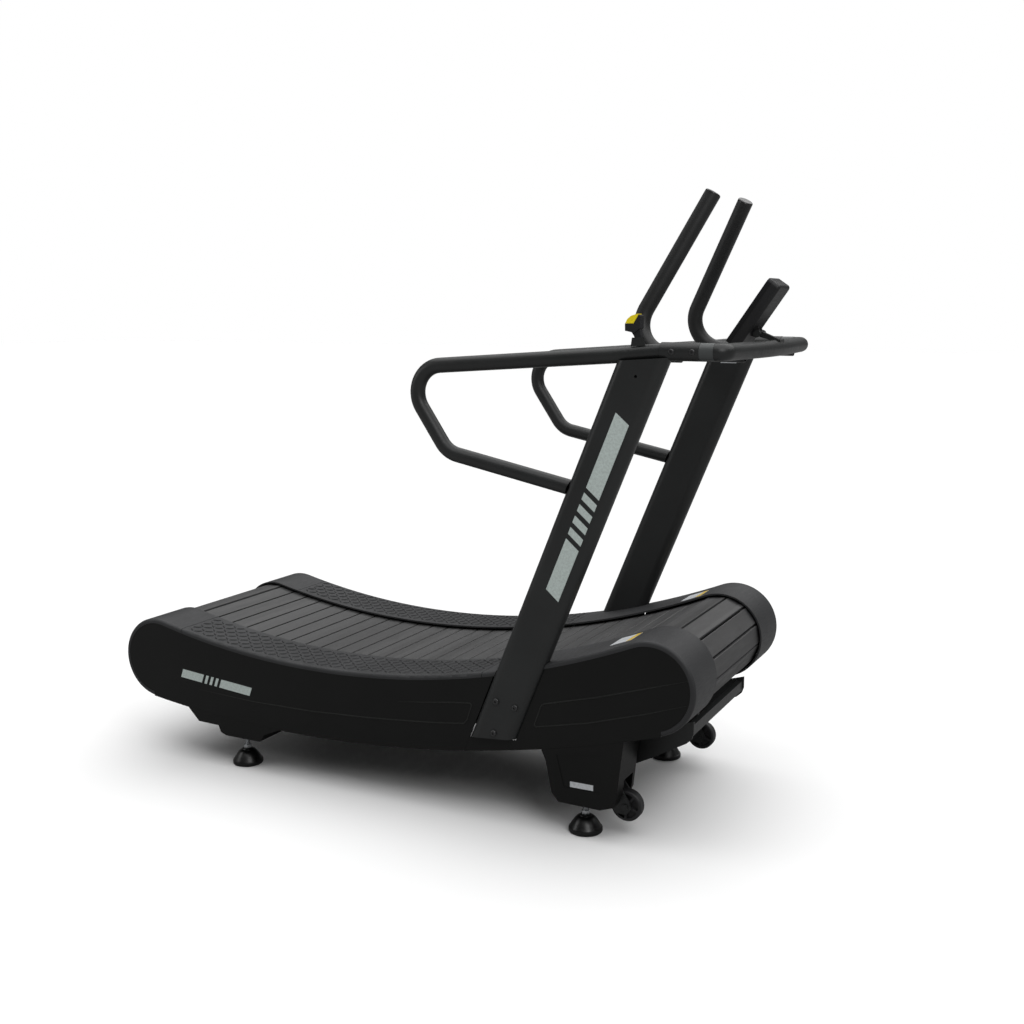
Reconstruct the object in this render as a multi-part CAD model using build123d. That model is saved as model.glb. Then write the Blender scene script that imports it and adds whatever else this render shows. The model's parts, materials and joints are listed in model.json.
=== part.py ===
from build123d import *
import os
from math import asin, atan2, cos, degrees, hypot, pi, radians, sin, tan

# Curved manual treadmill, millimetres.  +X is the way the runner faces, +Y the
# runner's left, +Z up.  The origin is on the floor under the middle of the box.
# "right" in a name is the runner's right (-Y), "left" the runner's left (+Y).

# ---- driving dimensions -------------------------------------------------
HALF_WIDTH = 400.0          # outer face of the side covers
RAIL_INNER = 220.0          # inner edge of the foot rails and end caps
SLOPE_X, SLOPE_Z = -250.0, 2980.0   # centre of the concave running curve
RAIL_R = 2600.0             # radius of the rails' top surface
CAP_R = 130.0               # radius of the rounded ends of the body
FRONT_TURN = 22.55          # degrees from the low point of the curve to each drum
REAR_TURN = 13.61
BELLY_R = 4000.0            # radius of the body's bottom edge
SHELL = 4.0                 # wall of the moulded covers
RIM = 14.0                  # rolled outer edge of caps and rails

SLATS_PER_DRUM = 12
SLATS_UP = 28               # slats between the drums on the running side
SLATS_DOWN = 30             # slats on the return side
SLATS_WRAP = 6              # slats on each drum
SLAT_W, SLAT_L, SLAT_T = 54.5, 500.0, 12.0
SLAT_TOP_R = 117.0          # flat top of a slat from the drum's axis
BELT_Y, BELT_W = 215.0, 36.0
BELT_T = 6.0
LOWER_R = 5000.0            # sag of the return run, to the drums' axes

FOOT_X, FOOT_Y = 592.6, 329.0
STUD_R = 8.0
WHEEL_X, WHEEL_Y, WHEEL_Z, WHEEL_R = 715.0, 321.0, 97.0, 44.0

LEAN = 22.0                 # the uprights lean forward from the vertical
UPRIGHT_Y, UPRIGHT_W, UPRIGHT_T = 385.0, 130.0, 56.0
UPRIGHT_X0 = 234.0          # middle of the upright's section at floor height
TUBE_R, BAR_R, JOINER_R, GRIP_R = 21.0, 22.0, 23.5, 22.0
TUBE_WALL = 2.5
BAR_Z = 1340.0

GAP = 0.4                   # clearance between neighbouring covers

# ---- points worked out from them -----------------------------------------
DRUM_DISTANCE = RAIL_R + CAP_R


def on_slope(radius, angle):
    """Point at a distance from the running curve's centre, angle from straight down."""
    return (SLOPE_X + radius * sin(radians(angle)), SLOPE_Z - radius * cos(radians(angle)))


FRONT = on_slope(DRUM_DISTANCE, FRONT_TURN)
REAR = on_slope(DRUM_DISTANCE, -REAR_TURN)
CHORD = hypot(FRONT[0] - REAR[0], FRONT[1] - REAR[1])
TILT = atan2(FRONT[1] - REAR[1], FRONT[0] - REAR[0])


def centre_above(radius):
    """Centre above both drums, at one distance from their two axes."""
    rise = (radius ** 2 - (CHORD / 2) ** 2) ** 0.5
    mid = ((FRONT[0] + REAR[0]) / 2, (FRONT[1] + REAR[1]) / 2)
    return (mid[0] - rise * sin(TILT), mid[1] + rise * cos(TILT))


BELLY = centre_above(BELLY_R - CAP_R)
RETURN = centre_above(LOWER_R)
SLOPE = (SLOPE_X, SLOPE_Z)
TURN = radians(FRONT_TURN + REAR_TURN)
PITCH = TURN * DRUM_DISTANCE / (SLATS_UP + TURN * SLATS_PER_DRUM / (2 * pi))
PITCH_R = PITCH * SLATS_PER_DRUM / (2 * pi)
STEP = 360 / SLATS_PER_DRUM


def toward(point, target, distance):
    dx, dz = target[0] - point[0], target[1] - point[1]
    length = hypot(dx, dz)
    return (point[0] + dx / length * distance, point[1] + dz / length * distance)


def arc(centre, start, end, radius, bulge):
    """Arc between two points; bulge is a direction in which its middle lies."""
    middle = toward(centre, (centre[0] + bulge[0], centre[1] + bulge[1]), radius)
    return ThreePointArc((start[0], 0, start[1]), (middle[0], 0, middle[1]),
                         (end[0], 0, end[1])).edge()


def body_outline(inset):
    """Side view of the whole body, moved inwards by an inset."""
    r = CAP_R - inset
    top_rear, top_front = toward(REAR, SLOPE, r), toward(FRONT, SLOPE, r)
    low_rear, low_front = toward(REAR, BELLY, -r), toward(FRONT, BELLY, -r)
    edges = [
        arc(SLOPE, top_rear, top_front, RAIL_R + inset, (0.08, -1)),
        arc(FRONT, top_front, low_front, r, (1, 0)),
        arc(BELLY, low_front, low_rear, BELLY_R - inset, (0.08, -1)),
        arc(REAR, low_rear, top_rear, r, (-1, 0)),
    ]
    return Face(Wire(edges))


def prism(face, y0, y1):
    """A face drawn in the XZ plane, pushed from y0 to y1."""
    return extrude(face.moved(Location((0, y0, 0))), amount=y1 - y0, dir=(0, 1, 0))


def polygon(points):
    return Face(Wire.make_polygon([(x, 0, z) for x, z in points], close=True))


def block(x0, x1, y0, y1, z0, z1):
    centre = Location(((x0 + x1) / 2, (y0 + y1) / 2, (z0 + z1) / 2))
    return centre * Box(x1 - x0, y1 - y0, z1 - z0)


def rod(point, y0, y1, radius):
    """Round bar across the machine at (x, z)."""
    place = Plane(origin=(point[0], y0, point[1]), z_dir=(0, 1, 0))
    return extrude(place * Circle(radius), amount=y1 - y0)


def pipe(path, outer, inner=0.0):
    plane = Plane(origin=path @ 0, z_dir=path % 0)
    section = Circle(outer) - Circle(inner) if inner else Circle(outer)
    return sweep(plane * section, path=path)


def mirrored(shape):
    return mirror(shape, about=Plane.XZ)


def group(*shapes):
    solids = [solid for shape in shapes for solid in shape.solids()]
    return Compound(solids)


PARTS = {}


def both_sides(name, right):
    PARTS[name + "_right"] = right
    PARTS[name + "_left"] = mirrored(right)


# ---- covers, caps and foot rails ------------------------------------------
PAD_REAR_X, PAD_FRONT_X = -786.0, 300.0
PAD_SEAM = 1.8
UPRIGHT_RUN = tan(radians(LEAN))
SECTION_X = UPRIGHT_W / cos(radians(LEAN))      # the upright's width along X
BELLY_ZONE = polygon([(-911, 100), (-911, 260), (835, 400), (835, 100)])


def upright_band(rear_gap, front_gap, z0, z1):
    """Side view of the leaning upright between two heights, with gaps."""
    rear = UPRIGHT_X0 - SECTION_X / 2 - rear_gap
    front = UPRIGHT_X0 + SECTION_X / 2 + front_gap
    return polygon([(rear + z0 * UPRIGHT_RUN, z0), (front + z0 * UPRIGHT_RUN, z0),
                    (front + z1 * UPRIGHT_RUN, z1), (rear + z1 * UPRIGHT_RUN, z1)])


def upright_column(grow):
    """Long bar of the upright's rounded section, grown on every side."""
    lean = (sin(radians(LEAN)), 0, cos(radians(LEAN)))
    start = Plane(origin=(UPRIGHT_X0 + 180 * UPRIGHT_RUN, -UPRIGHT_Y, 180),
                  x_dir=(lean[2], 0, -lean[0]), z_dir=lean)
    section = RectangleRounded(UPRIGHT_W + 2 * grow, UPRIGHT_T + 2 * grow, 26 + grow)
    return extrude(start * section, amount=1300)


def rolled_shell(x0, x1):
    """Rail or end cap: thin top with a thicker rolled edge on the outside."""
    keep = block(x0, x1, -500, 0, 0, 700) - prism(BELLY_ZONE, -500, 0)
    thin = prism(body_outline(0), -HALF_WIDTH, -RAIL_INNER)
    thin -= prism(body_outline(5), -HALF_WIDTH + RIM, -RAIL_INNER)
    thin -= prism(body_outline(RIM), -HALF_WIDTH, -HALF_WIDTH + RIM)
    outer = body_outline(0).moved(Location((0, -HALF_WIDTH, 0))).wire()
    rim = [e for e in thin.edges().group_by(Axis.Y)[0] if outer.distance_to(e @ 0.5) < 0.01]
    return (fillet(rim, 9) & keep) - upright_column(1.5)


def side_cover():
    """Flat outer panel with a bottom return, before it is split by the upright."""
    rim = prism(body_outline(-5), -410, -380) - prism(body_outline(RIM + GAP), -410, -380)
    rim -= prism(BELLY_ZONE, -420, -370)
    panel = prism(body_outline(0), -HALF_WIDTH + 0.5, -HALF_WIDTH + 0.5 + SHELL) - rim
    sole = prism(body_outline(0), -HALF_WIDTH + 0.5, -352) - prism(body_outline(SHELL), -400, -352)
    return panel + (sole & prism(BELLY_ZONE, -420, -350))


below_upright = polygon([(0, 0), (0, 224), (700, 279), (700, 0)])
notch = prism(upright_band(1, 1, 100, 700), -500, -300) - prism(below_upright, -500, -300)
seam = prism(upright_band(1, -SECTION_X - 0.4, 100, 300), -500, -300)
cover = side_cover() - notch - seam
cover_halves = sorted(cover.solids(), key=lambda s: s.center().X)
both_sides("side_cover_rear", cover_halves[0])
both_sides("side_cover_front", cover_halves[-1])
both_sides("rear_cap", rolled_shell(-1100, PAD_REAR_X - PAD_SEAM))
both_sides("front_cap", rolled_shell(PAD_FRONT_X + PAD_SEAM, 1100))
both_sides("foot_pad", rolled_shell(PAD_REAR_X, PAD_FRONT_X))

# ---- foot housings and the steel posts in them ----------------------------
HOUSING_INNER, HOUSING_WALL = 272.0, 4.0
FRONT_HOUSING = [(484, 270), (488, 240), (500, 215), (519, 124), (540, 101), (664, 99),
                 (702, 112), (712, 138), (720, 217), (734, 330)]
FRONT_PANEL = [(533, 236), (556, 147), (661, 147), (674, 258)]
REAR_HOUSING = [(-790, 215), (-777, 187), (-729, 139), (-650, 137), (-641, 116), (-621, 108),
                (-488, 108), (-470, 132), (-396, 164), (-380, 200)]


def foot_housing(points, foot_x):
    outline = polygon(points)
    shell = prism(outline, -HALF_WIDTH + 1, -HOUSING_INNER)
    hollow = prism(offset(outline, -HOUSING_WALL), -HALF_WIDTH + 1 + HOUSING_WALL,
                   -HOUSING_INNER - HOUSING_WALL)
    shell = shell - hollow - prism(body_outline(-GAP), -500, -200)
    shell -= block(foot_x - 21, foot_x + 21, -FOOT_Y - 21, -FOOT_Y + 21, 180, 430)
    return shell - Location((foot_x, -FOOT_Y, 110)) * Cylinder(13, 60)


POST_HALF = 20.0
FRONT_POST_TOP, REAR_POST_TOP = 430.0, 318.0
WHEEL_WELL = block(640, 780, -354, -288, 60, 180)
front_housing = foot_housing(FRONT_HOUSING, FOOT_X)
front_housing -= prism(polygon(FRONT_PANEL), -HALF_WIDTH, -HALF_WIDTH + 2.5)
front_housing -= block(FOOT_X - 20.5, FOOT_X + 20.5, -FOOT_Y, -200, 185.5, 240.5)
both_sides("foot_housing_front", front_housing - WHEEL_WELL)
both_sides("foot_housing_rear", foot_housing(REAR_HOUSING, -FOOT_X))

# ---- base frame -------------------------------------------------------------
RAIL_Y0, RAIL_Y1 = 262.0, 302.0
RAIL_TOP_R, RAIL_LOW_R, RAIL_WALL = 2648.0, 2712.0, 3.0


def slope_strip(r0, r1, a0, a1):
    """Curved strip between two radii and two angles of the running curve."""
    mid = (a0 + a1) / 2
    bulge = (sin(radians(mid)), -cos(radians(mid)))
    corner = [on_slope(r0, a0), on_slope(r0, a1), on_slope(r1, a1), on_slope(r1, a0)]
    edges = [arc(SLOPE, corner[0], corner[1], r0, bulge),
             Edge.make_line((corner[1][0], 0, corner[1][1]), (corner[2][0], 0, corner[2][1])),
             arc(SLOPE, corner[2], corner[3], r1, bulge),
             Edge.make_line((corner[3][0], 0, corner[3][1]), (corner[0][0], 0, corner[0][1]))]
    return Face(Wire(edges))


rail = prism(slope_strip(RAIL_TOP_R, RAIL_LOW_R, -REAR_TURN, FRONT_TURN), -RAIL_Y1, -RAIL_Y0)
rail -= prism(slope_strip(RAIL_TOP_R + RAIL_WALL, RAIL_LOW_R - RAIL_WALL,
                          -REAR_TURN + 0.1, FRONT_TURN - 0.1),
              -RAIL_Y1 + RAIL_WALL, -RAIL_Y0 - RAIL_WALL)
PARTS["frame_rails"] = group(rail, mirrored(rail))


def tube_across(x, z, width, height, half_length):
    outer = block(x - width / 2, x + width / 2, -half_length, half_length,
                  z - height / 2, z + height / 2)
    inner = block(x - width / 2 + 3, x + width / 2 - 3, -half_length, half_length,
                  z - height / 2 + 3, z + height / 2 - 3)
    return outer - inner


CROSS_X = [-690.0, -380.0, -60.0, 260.0, 560.0]


def rail_centre_z(x):
    radius = (RAIL_TOP_R + RAIL_LOW_R) / 2
    return SLOPE_Z - (radius ** 2 - (x - SLOPE_X) ** 2) ** 0.5


CROSSBAR_Y, PLATE_T = 234.0, 6.0
FRONT_PLATE = [(FOOT_X + 20, 186), (704, 186), (755, 212), (817, 248), (852, 268), (866, 281),
               (872, 298), (872, 333), (848, 326), (800, 312), (700, 298), (FOOT_X + 20, 240)]
front_plate = prism(polygon(FRONT_PLATE), -CROSSBAR_Y - PLATE_T, -CROSSBAR_Y)
crossbar = block(850, 868, -CROSSBAR_Y, CROSSBAR_Y, 290, 320)
front_tube = tube_across(FOOT_X, 213, 40, 54, FOOT_Y - 20)
PARTS["crossmembers"] = group(*[tube_across(x, rail_centre_z(x), 50, 30, RAIL_Y0)
                                for x in CROSS_X], crossbar, front_tube,
                              front_plate, mirrored(front_plate))


def post(x, top):
    leg = block(x - POST_HALF, x + POST_HALF, -FOOT_Y - POST_HALF, -FOOT_Y + POST_HALF, 116, top)
    leg -= block(x - POST_HALF + 3, x + POST_HALF - 3, -FOOT_Y - POST_HALF + 3,
                 -FOOT_Y + POST_HALF - 3, 124, top - 3)
    leg += block(x - 30, x + 30, -FOOT_Y + POST_HALF, -RAIL_Y1, top - 60, top)
    return leg - Location((x, -FOOT_Y, 120)) * Cylinder(STUD_R + 0.1, 40)


YOKE_PIVOT = (652.0, 452.0)
bracket = block(300, 432, -356.5, -RAIL_Y1, 288, 384)
bracket -= block(306, 426, -350, -RAIL_Y1 - 6, 288, 384)
posts = [post(FOOT_X, FRONT_POST_TOP), post(-FOOT_X, REAR_POST_TOP), bracket]
PARTS["frame_posts"] = group(*posts, *[mirrored(p) for p in posts],
                             rod(YOKE_PIVOT, -346, -RAIL_Y1, 7))


def pillow_block(drum):
    """Bearing housing at the end of a frame rail, with the shaft's bore."""
    base = toward(drum, SLOPE, DRUM_DISTANCE - RAIL_LOW_R)
    angle = degrees(atan2(drum[0] - SLOPE_X, SLOPE_Z - drum[1]))
    foot = Location((base[0], 0, base[1]), (0, -angle, 0)) * block(-42, 42, -294, -266, -12, 0)
    return (foot + rod(drum, -294, -266, 32)) - rod(drum, -300, -260, 15.05)


SHAFT_R = 15.0
blocks = [pillow_block(FRONT), pillow_block(REAR)]
blocks = [b - prism(slope_strip(RAIL_TOP_R, RAIL_LOW_R, -REAR_TURN, FRONT_TURN), -303, -261)
          for b in blocks]
PARTS["pillow_blocks"] = group(*blocks, *[mirrored(b) for b in blocks])

# ---- wheel brackets, transport wheels and levelling feet -------------------
AXLE_R = 5.0


def wheel_bracket():
    """Fork of two arms on the front post, carrying the wheel's bolt."""
    arm = polygon([(FOOT_X + POST_HALF, 206), (FOOT_X + POST_HALF, 128), (WHEEL_X - 22, 76),
                   (WHEEL_X + 4, 76), (WHEEL_X + 18, 94), (WHEEL_X + 10, 116), (664, 206)])
    outer = prism(arm, -WHEEL_Y - 23, -WHEEL_Y - 18)
    inner = prism(arm, -WHEEL_Y + 18, -WHEEL_Y + 23)
    web = block(FOOT_X + POST_HALF, FOOT_X + POST_HALF + 5, -WHEEL_Y - 23, -WHEEL_Y + 23, 128, 206)
    axle = rod((WHEEL_X, WHEEL_Z), -WHEEL_Y - 28, -WHEEL_Y + 28, AXLE_R)
    head = rod((WHEEL_X, WHEEL_Z), -WHEEL_Y - 29, -WHEEL_Y - 23, 9)
    return outer + inner + web + axle + head


def wheel():
    tyre = rod((WHEEL_X, WHEEL_Z), -WHEEL_Y - 15, -WHEEL_Y + 15, WHEEL_R)
    tyre = fillet(tyre.edges().filter_by(GeomType.CIRCLE), 5)
    for side in (-1, 1):
        face = -WHEEL_Y + side * 15
        dish = rod((WHEEL_X, WHEEL_Z), face - side * 9, face, WHEEL_R - 9)
        dish -= rod((WHEEL_X, WHEEL_Z), face - side * 9, face, 12)
        for k in range(5):
            spoke = block(0, WHEEL_R - 9, min(face, face - side * 9), max(face, face - side * 9),
                          -3, 3)
            dish -= Location((WHEEL_X, 0, WHEEL_Z), (0, 72 * k + 20, 0)) * spoke
        tyre -= dish
    return tyre - rod((WHEEL_X, WHEEL_Z), -WHEEL_Y - 20, -WHEEL_Y + 20, AXLE_R + 0.05)


bracket_right = wheel_bracket()
PARTS["wheel_brackets"] = group(bracket_right, mirrored(bracket_right))
both_sides("wheel", wheel())

PAD_R, PAD_H = 48.0, 50.0


def levelling_foot(x, y):
    """Rubber dome on a threaded stud."""
    dome = Polyline((0, 0, 0), (PAD_R - 4, 0, 0), (PAD_R, 0, 4), (PAD_R - 1, 0, 14))
    cap = Spline((PAD_R - 1, 0, 14), (34, 0, 38), (14, 0, PAD_H),
                 tangents=((0, 0, 1), (-1, 0, 0.2)))
    close = Polyline((14, 0, PAD_H), (0, 0, PAD_H), (0, 0, 0))
    pad = revolve(Face(Wire([*dome.edges(), *cap.edges(), *close.edges()])), Axis.Z)
    stud = Location((0, 0, PAD_H + 50)) * Cylinder(STUD_R, 100)
    nut = Location((0, 0, PAD_H + 4)) * extrude(RegularPolygon(12, 6), 9)
    return Location((x, y, 0)) * group(pad, (stud + nut))


FEET = {"foot_front_right": (FOOT_X, -FOOT_Y), "foot_front_left": (FOOT_X, FOOT_Y),
        "foot_rear_right": (-FOOT_X, -FOOT_Y), "foot_rear_left": (-FOOT_X, FOOT_Y)}
for foot_name, (foot_x, foot_y) in FEET.items():
    PARTS[foot_name] = levelling_foot(foot_x, foot_y)


def lock_nut(x, y):
    nut = extrude(RegularPolygon(13.5, 6), 10) - Cylinder(STUD_R + 0.1, 40)
    return Location((x, y, 84 if x > 0 else 92)) * nut


PARTS["lock_nuts"] = group(*[lock_nut(x, y) for x, y in FEET.values()])

# ---- running belt --------------------------------------------------------------
SLAT_LOW_R = SLAT_TOP_R - SLAT_T
BELT_OUT_R = SLAT_LOW_R + BELT_T + 0.6      # belts lie in notches under the slats
BELT_IN_R = SLAT_LOW_R


def slat():
    """One slat lying flat, its top at z=0, notched for the two carrier belts."""
    bar = block(-SLAT_W / 2, SLAT_W / 2, -SLAT_L / 2, SLAT_L / 2, -SLAT_T, 0)
    bar = chamfer(bar.edges().filter_by(Axis.Y).group_by(Axis.Z)[-1], 1.5)
    for side in (-1, 1):
        y = side * BELT_Y
        bar -= block(-40, 40, y - BELT_W / 2 - 1, y + BELT_W / 2 + 1, -SLAT_T, -SLAT_T + BELT_T + 1)
    return bar


SLAT = slat()


def slat_at(centre, radius, angle, flip):
    """Slat whose top is at a radius, angle from straight down; flip turns its top outwards."""
    x = centre[0] + radius * sin(radians(angle))
    z = centre[1] - radius * cos(radians(angle))
    return SLAT.moved(Location((x, 0, z), (0, -angle + (180 if flip else 0), 0)))


def slat_row(centre, radius, angles, flip):
    return Compound([slat_at(centre, radius, a, flip).solid() for a in angles])


half_step = degrees(PITCH / (DRUM_DISTANCE - PITCH_R)) / 2
up_angles = [-REAR_TURN + half_step * (2 * k + 1) for k in range(SLATS_UP)]
PARTS["slats_upper"] = slat_row(SLOPE, DRUM_DISTANCE - SLAT_TOP_R, up_angles, False)
front_angles = [180 + FRONT_TURN - STEP * (k + 0.5) for k in range(SLATS_WRAP)]
PARTS["slats_front"] = slat_row(FRONT, SLAT_TOP_R, front_angles, True)
rear_angles = [180 - REAR_TURN + STEP * (k + 0.5) for k in range(SLATS_WRAP)]
PARTS["slats_rear"] = slat_row(REAR, SLAT_TOP_R, rear_angles, True)

SAG = degrees(asin(CHORD / 2 / LOWER_R))
LOW_FRONT, LOW_REAR = degrees(TILT) + SAG, degrees(TILT) - SAG
FRONT_WRAP = 180 + FRONT_TURN - LOW_FRONT
REAR_WRAP = 180 + REAR_TURN + LOW_REAR
LOWER_PITCH_R = LOWER_R + PITCH_R


def carried_over(wrap):
    """Angle on the return curve from a drum's tangent point to the first slat."""
    past = STEP * (SLATS_WRAP + 0.5) - wrap
    return degrees(radians(past) * PITCH_R / LOWER_PITCH_R)


first = LOW_FRONT - carried_over(FRONT_WRAP)
last = LOW_REAR + carried_over(REAR_WRAP)
down_angles = [first + (last - first) * k / (SLATS_DOWN - 1) for k in range(SLATS_DOWN)]
PARTS["slats_lower"] = slat_row(RETURN, LOWER_R + SLAT_TOP_R, down_angles, True)


def belt_outline(r):
    """Closed path of the belt at a distance from the drums' axes."""
    top_rear, top_front = toward(REAR, SLOPE, r), toward(FRONT, SLOPE, r)
    low_rear, low_front = toward(REAR, RETURN, -r), toward(FRONT, RETURN, -r)
    return Face(Wire([
        arc(SLOPE, top_rear, top_front, DRUM_DISTANCE - r, (0.08, -1)),
        arc(FRONT, top_front, low_front, r, (1, 0)),
        arc(RETURN, low_front, low_rear, LOWER_R + r, (0.08, -1)),
        arc(REAR, low_rear, top_rear, r, (-1, 0)),
    ]))


belt_ring = prism(belt_outline(BELT_OUT_R - 0.7), -BELT_Y - BELT_W / 2, -BELT_Y + BELT_W / 2)
belt_ring -= prism(belt_outline(BELT_IN_R + 0.3), -BELT_Y - BELT_W / 2, -BELT_Y + BELT_W / 2)
PARTS["carrier_belts"] = group(belt_ring, mirrored(belt_ring))

# ---- drums, brake disc and the bearings under the running side ----------------
PULLEY_R = BELT_IN_R - 0.2


def pulley(drum):
    disc = rod(drum, -BELT_Y - 20, -BELT_Y + 20, PULLEY_R)
    disc -= rod(drum, -BELT_Y - 20, -BELT_Y - 8, PULLEY_R - 12) - rod(drum, -300, 0, 30)
    disc -= rod(drum, -BELT_Y + 8, -BELT_Y + 20, PULLEY_R - 12) - rod(drum, -300, 0, 30)
    for k in range(6):
        hole = (drum[0] + 60 * cos(radians(60 * k)), drum[1] + 60 * sin(radians(60 * k)))
        disc -= rod(hole, -BELT_Y - 20, -BELT_Y + 20, 14)
    return disc - rod(drum, -300, 0, SHAFT_R)


for drum_name, drum in (("front", FRONT), ("rear", REAR)):
    one = pulley(drum)
    PARTS[drum_name + "_pulleys"] = group(one, mirrored(one))
    PARTS[drum_name + "_shaft"] = rod(drum, -345 if drum_name == "front" else -300, 300, SHAFT_R)
DISC_Y = -330.0
disc = rod(FRONT, DISC_Y - 3, DISC_Y + 3, 95) + rod(FRONT, DISC_Y - 12, DISC_Y + 12, 28)
for k in range(8):
    vent = (FRONT[0] + 62 * cos(radians(45 * k)), FRONT[1] + 62 * sin(radians(45 * k)))
    disc -= rod(vent, DISC_Y - 3, DISC_Y + 3, 9)
PARTS["brake_disc"] = disc - rod(FRONT, DISC_Y - 20, DISC_Y + 20, SHAFT_R)

ROLLER_R = 15.0
ROLLER_PATH = DRUM_DISTANCE - BELT_IN_R + 0.1 + ROLLER_R
PLATE_Y = 252.0
ROLLERS = 22
roller_angles = [-REAR_TURN + 3.1 + k * (FRONT_TURN + REAR_TURN - 6.2) / (ROLLERS - 1)
                 for k in range(ROLLERS)]
side_plate = prism(slope_strip(ROLLER_PATH - 10, ROLLER_PATH + 15, -REAR_TURN + 2, FRONT_TURN - 2),
                   -PLATE_Y - 5, -PLATE_Y)
for x in CROSS_X:
    seat_z = rail_centre_z(x) + 15
    side_plate += block(x - 12, x + 12, -PLATE_Y - 10, -PLATE_Y + 6, seat_z, seat_z + 12)
rollers = []
for angle in roller_angles:
    spot = on_slope(ROLLER_PATH, angle)
    rollers.append(rod(spot, -BELT_Y - 8, -BELT_Y + 8, ROLLER_R) + rod(spot, -PLATE_Y, -BELT_Y, 5))
PARTS["bearing_rails"] = group(side_plate, mirrored(side_plate))
PARTS["rail_bearings"] = group(*rollers, *[mirrored(r) for r in rollers])


def magnet_yoke():
    """Fork that straddles the brake disc, with its hub on the pivot."""
    x, z = YOKE_PIVOT
    arm = polygon([(x - 14, z - 14), (x + 62, z - 26), (x + 108, z - 20), (x + 108, z + 24),
                   (x + 60, z + 26), (x - 14, z + 14)])
    fork = prism(arm, DISC_Y - 13, DISC_Y - 7) + prism(arm, DISC_Y + 7, DISC_Y + 13)
    fork += block(x - 14, x + 30, DISC_Y - 7, DISC_Y + 7, z - 14, z + 14)
    return fork - rod(YOKE_PIVOT, -400, -300, 7.05)


PARTS["magnet_yoke"] = magnet_yoke()

# ---- uprights, handrails and the front bar --------------------------------------
RAKE = 3.97                 # the handrail's top tube climbs forward
TOP_REAR, LOW_BEND = (35.3, 1283.0), (189.8, 1053.5)
LOOP_BEND = 76.0
JOINER_X0, COLLAR_X0, COLLAR_X1 = 812.0, 915.0, 951.5
BAR_CORNER_X, BAR_APEX_X = 974.0, 1007.9


def upright():
    column = upright_column(0) - upright_column(-3)
    foot_cut = polygon([(100, 0), (100, 236), (600, 275), (600, 0)])
    head_cut = polygon([(400, 1295), (1100, 1295 + 700 * tan(radians(RAKE))), (1100, 1600),
                        (400, 1600)])
    column -= prism(foot_cut, -450, -300) + prism(head_cut, -450, -300)
    joint = Line((JOINER_X0 - 2, -UPRIGHT_Y, BAR_Z), (COLLAR_X0, -UPRIGHT_Y, BAR_Z))
    return column - pipe(handrail_path(), TUBE_R) - pipe(joint, JOINER_R)


def handrail_path():
    join_z = TOP_REAR[1] + (690 - TOP_REAR[0]) * tan(radians(RAKE))
    return FilletPolyline((JOINER_X0, -UPRIGHT_Y, BAR_Z), (700, -UPRIGHT_Y, join_z + 1),
                          (TOP_REAR[0], -UPRIGHT_Y, TOP_REAR[1]),
                          (LOW_BEND[0], -UPRIGHT_Y, LOW_BEND[1]), (570, -UPRIGHT_Y, 976.5),
                          radius=[400, LOOP_BEND, LOOP_BEND])


column = upright()
bolt_holes = [(354, 366), (413, 356), (346, 273)]
handrail = pipe(handrail_path(), TUBE_R, TUBE_R - TUBE_WALL)
outer_column = prism(upright_band(0, 0, 200, 1400), -UPRIGHT_Y - 30, -UPRIGHT_Y + 30)
handrail -= outer_column & block(400, 800, -450, -300, 900, 1100)
column -= rod((753, 1277), -420, -400, 4)
both_sides("upright", column)
both_sides("handrail", handrail)


def button_head(point, y, radius, height):
    """Domed bolt head with a hexagon socket, on the outer face of the right side."""
    head = rod(point, y - height, y, radius)
    head = fillet(head.edges().group_by(Axis.Y)[0], height * 0.6)
    socket = Plane(origin=(point[0], y - height, point[1]), z_dir=(0, 1, 0)) * RegularPolygon(
        radius * 0.45, 6)
    return head - extrude(socket, amount=height * 0.5)


face_y = -UPRIGHT_Y - UPRIGHT_T / 2
heads = [button_head(p, face_y, 9, 6) for p in bolt_holes]
PARTS["upright_bolts"] = group(*heads, *[mirrored(h) for h in heads])

joiner_path = Line((JOINER_X0, -UPRIGHT_Y, BAR_Z), (COLLAR_X0, -UPRIGHT_Y, BAR_Z))
joiner = pipe(joiner_path, JOINER_R, JOINER_R - 3) - pipe(handrail_path(), TUBE_R)
collar = pipe(Line((COLLAR_X0, -UPRIGHT_Y, BAR_Z), (COLLAR_X1, -UPRIGHT_Y, BAR_Z)), BAR_R + 0.6,
              BAR_R - 3)
PARTS["bar_joiners"] = group(joiner, mirrored(joiner))
PARTS["collars"] = group(collar, mirrored(collar))
bar_heads = [button_head((x, BAR_Z), -UPRIGHT_Y - JOINER_R + 1.5, 7.5, 5) for x in (845, 899)]
bar_heads = [h - pipe(joiner_path, JOINER_R) for h in bar_heads]
PARTS["bar_bolts"] = group(*bar_heads, *[mirrored(h) for h in bar_heads])
bar_path = FilletPolyline((COLLAR_X1, -UPRIGHT_Y, BAR_Z), (BAR_CORNER_X, -UPRIGHT_Y, BAR_Z),
                          (BAR_APEX_X, 0, BAR_Z), (BAR_CORNER_X, UPRIGHT_Y, BAR_Z),
                          (COLLAR_X1, UPRIGHT_Y, BAR_Z), radius=[23, 2000, 23])
PARTS["front_bar"] = pipe(bar_path, BAR_R, BAR_R - TUBE_WALL)

# ---- push handles ------------------------------------------------------------------
HANDLE_TOP = (857.0, -149.0, 1741.0)
HANDLE_BEND = (642.0, -236.0, 1328.0)
HANDLE_END = (986.0, -244.0, 1328.0)
HANDLE_RADIUS = 84.0


def along(a, b, share):
    return tuple(p + (q - p) * share for p, q in zip(a, b))


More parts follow.
